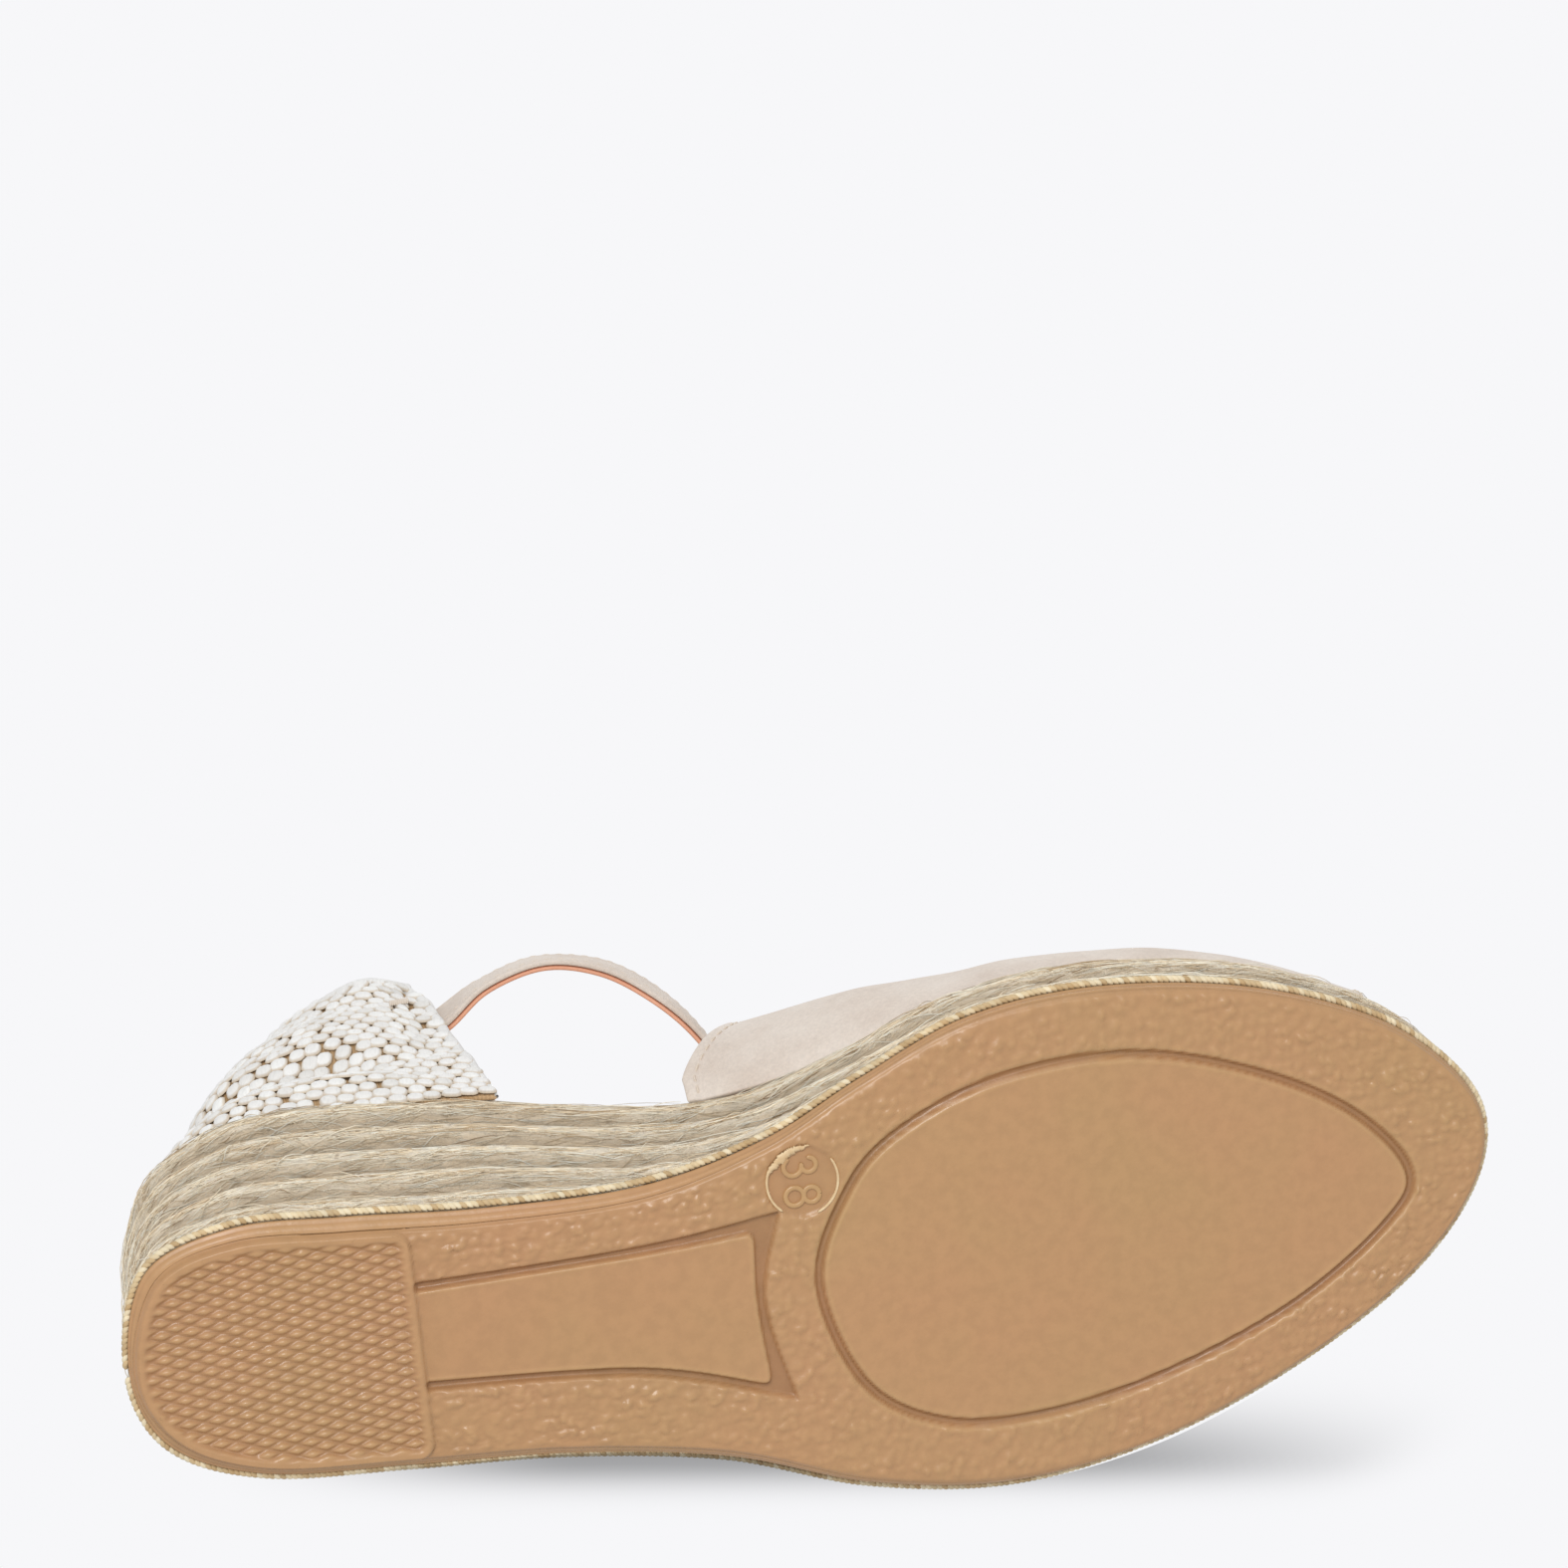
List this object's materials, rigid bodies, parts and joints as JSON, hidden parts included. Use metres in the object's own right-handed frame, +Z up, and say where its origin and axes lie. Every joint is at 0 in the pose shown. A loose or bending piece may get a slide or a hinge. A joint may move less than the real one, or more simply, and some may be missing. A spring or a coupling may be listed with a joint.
{
  "type": "wedge sandal",
  "caption": "Left open-toe espadrille wedge sandal: rubber sole, jute-braid wedge, suede vamp, woven heel counter and a buckled ankle strap.",
  "frame": {"origin": "middle of the bounding box, on the ground under the sole", "axes": "+X towards the toe, +Y towards the outer (little toe) side, +Z up"},
  "size_m": [0.2462, 0.0937, 0.1181],
  "materials": {
    "gum_rubber": "satin natural gum rubber, moulded",
    "jute": "matt braided jute with loose fibres",
    "cork": "matt cork agglomerate",
    "fibre_board": "matt cellulose board",
    "foam": "matt latex foam",
    "suede": "soft napped suede",
    "lining_leather": "smooth vegetable-tanned leather",
    "woven_cloth": "chunky basket weave, white over tan",
    "lining_cloth": "plain cotton lining",
    "thread": "twisted polyester thread",
    "buckle_metal": "polished pale gold plating"
  },
  "bodies": {
    "sole_and_upper": {"counter_lining": "lining_cloth", "counter_outer": "woven_cloth", "insole_board": "fibre_board", "insole_foam": "foam", "jute_braid_row_1": "jute", "jute_braid_row_2": "jute", "jute_braid_row_3": "jute", "jute_braid_row_4": "jute", "jute_braid_row_5": "jute", "outsole": "gum_rubber", "sock_lining": "lining_leather", "sole_edge_cord": "jute", "strap_tacks": "thread", "vamp_back_seam": "thread", "vamp_front_seam": "thread", "vamp_lining": "lining_leather", "vamp_outer": "suede", "wedge_core": "cork"},
    "ankle_strap": {"strap_outer": "suede", "strap_lining": "lining_leather", "strap_seam": "thread", "buckle_strap_outer": "suede", "buckle_strap_lining": "lining_leather"},
    "buckle": {"buckle_frame": "buckle_metal"},
    "prong": {"buckle_prong": "buckle_metal"},
    "keeper": {"strap_keeper": "suede"}
  },
  "joints": [
    {"name": "strap_swing", "type": "hinge", "parent": "sole_and_upper", "child": "ankle_strap", "pos_m": [-0.0604, 0, 0.101], "axis": [0, -1, 0], "range_deg": [0, 33]},
    {"name": "buckle_tilt", "type": "hinge", "parent": "ankle_strap", "child": "buckle", "pos_m": [-0.0364, 0.0261, 0.101], "axis": [0, 0, 1], "range_deg": [0, 8]},
    {"name": "prong_lift", "type": "hinge", "parent": "buckle", "child": "prong", "pos_m": [-0.0364, 0.0261, 0.101], "axis": [0, 0, 1], "range_deg": [0, 12]},
    {"name": "keeper_slide", "type": "slide", "parent": "ankle_strap", "child": "keeper", "axis": [1, 0, 0], "range_m": [-0.0015, 0.0025]}
  ]
}
